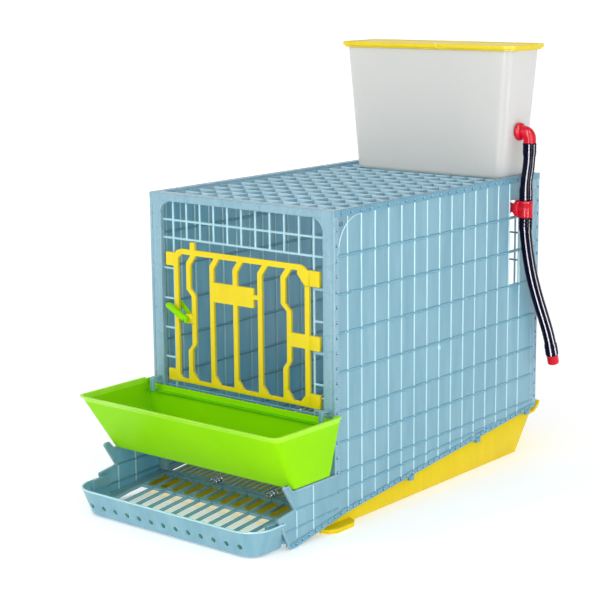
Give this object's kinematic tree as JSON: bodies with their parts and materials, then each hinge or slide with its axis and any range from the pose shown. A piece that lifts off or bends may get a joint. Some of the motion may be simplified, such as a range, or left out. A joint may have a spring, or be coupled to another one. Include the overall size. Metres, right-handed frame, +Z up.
{
  "type": "chicken cage",
  "caption": "Laying hen cage with ribbed side walls, hinged front door, feeder trough, roll-out egg tray, droppings tray and roof water tank feeding a nipple line.",
  "frame": {"origin": "on the ground plane, centred across the width, at the cage's front face (the underside of the droppings tray)", "axes": "+X to the right seen from the front, +Y from the front to the back, +Z up; the door, feeder and egg tray face -Y"},
  "size_m": [0.4955, 0.941, 0.829],
  "materials": {
    "cage_plastic": "light steel blue moulded polypropylene, soft sheen",
    "yellow_plastic": "yellow moulded plastic",
    "lid_plastic": "yellow moulded plastic lid",
    "green_plastic": "lime green moulded plastic",
    "tank_plastic": "milky translucent polyethylene",
    "red_plastic": "red moulded plastic",
    "hose_pvc": "dark navy glossy PVC hose",
    "pipe_plastic": "white PVC pipe",
    "gasket_rubber": "black rubber",
    "clip_steel": "bright wire clip",
    "pin_steel": "stainless steel pin"
  },
  "bodies": {
    "cage": {"side_panel_left": "cage_plastic", "side_panel_right": "cage_plastic", "front_panel": "cage_plastic", "back_panel": "cage_plastic", "top_panel": "cage_plastic", "floor_grid": "cage_plastic", "egg_tray": "cage_plastic", "tray_clips": "clip_steel", "water_tank": "tank_plastic", "tank_gasket": "gasket_rubber", "tank_nut": "red_plastic", "tank_elbow": "red_plastic", "upper_hose": "hose_pvc", "water_tee": "red_plastic", "lower_hose": "hose_pvc", "hose_plug": "red_plastic", "drinker_pipe": "pipe_plastic", "pipe_end_cap": "red_plastic", "pipe_hangers": "cage_plastic", "nipple_bodies": "red_plastic"},
    "door": {"door": "yellow_plastic"},
    "latch": {"latch_lever": "green_plastic", "latch_tongue": "green_plastic"},
    "feeder": {"feeder_trough": "green_plastic", "feeder_hooks": "cage_plastic"},
    "droppings_tray": {"droppings_tray": "yellow_plastic"},
    "lid": {"tank_lid": "lid_plastic"},
    "nipple_left": {"nipple_pin_left": "pin_steel"},
    "nipple_middle": {"nipple_pin_middle": "pin_steel"},
    "nipple_right": {"nipple_pin_right": "pin_steel"}
  },
  "joints": [
    {"name": "door_hinge", "type": "hinge", "parent": "cage", "child": "door", "pos_m": [0.178, 0.0035, 0.34], "axis": [0, 0, 1], "range_deg": [0, 95]},
    {"name": "latch_turn", "type": "hinge", "parent": "door", "child": "latch", "pos_m": [-0.128, 0, 0.341], "axis": [0, -1, 0], "range_deg": [0, 42]},
    {"name": "droppings_tray_slide", "type": "slide", "parent": "cage", "child": "droppings_tray", "axis": [0, 1, 0], "range_m": [0, 0.5]},
    {"name": "feeder_lift", "type": "slide", "parent": "cage", "child": "feeder", "axis": [0, 0, -1], "range_m": [-0.08, 0]},
    {"name": "lid_lift", "type": "slide", "parent": "cage", "child": "lid", "axis": [0, 0, 1], "range_m": [0, 0.12]},
    {"name": "nipple_left_push", "type": "slide", "parent": "cage", "child": "nipple_left", "axis": [0, 0, 1], "range_m": [0, 0.0015]},
    {"name": "nipple_middle_push", "type": "slide", "parent": "cage", "child": "nipple_middle", "axis": [0, 0, 1], "range_m": [0, 0.0015]},
    {"name": "nipple_right_push", "type": "slide", "parent": "cage", "child": "nipple_right", "axis": [0, 0, 1], "range_m": [0, 0.0015]}
  ]
}
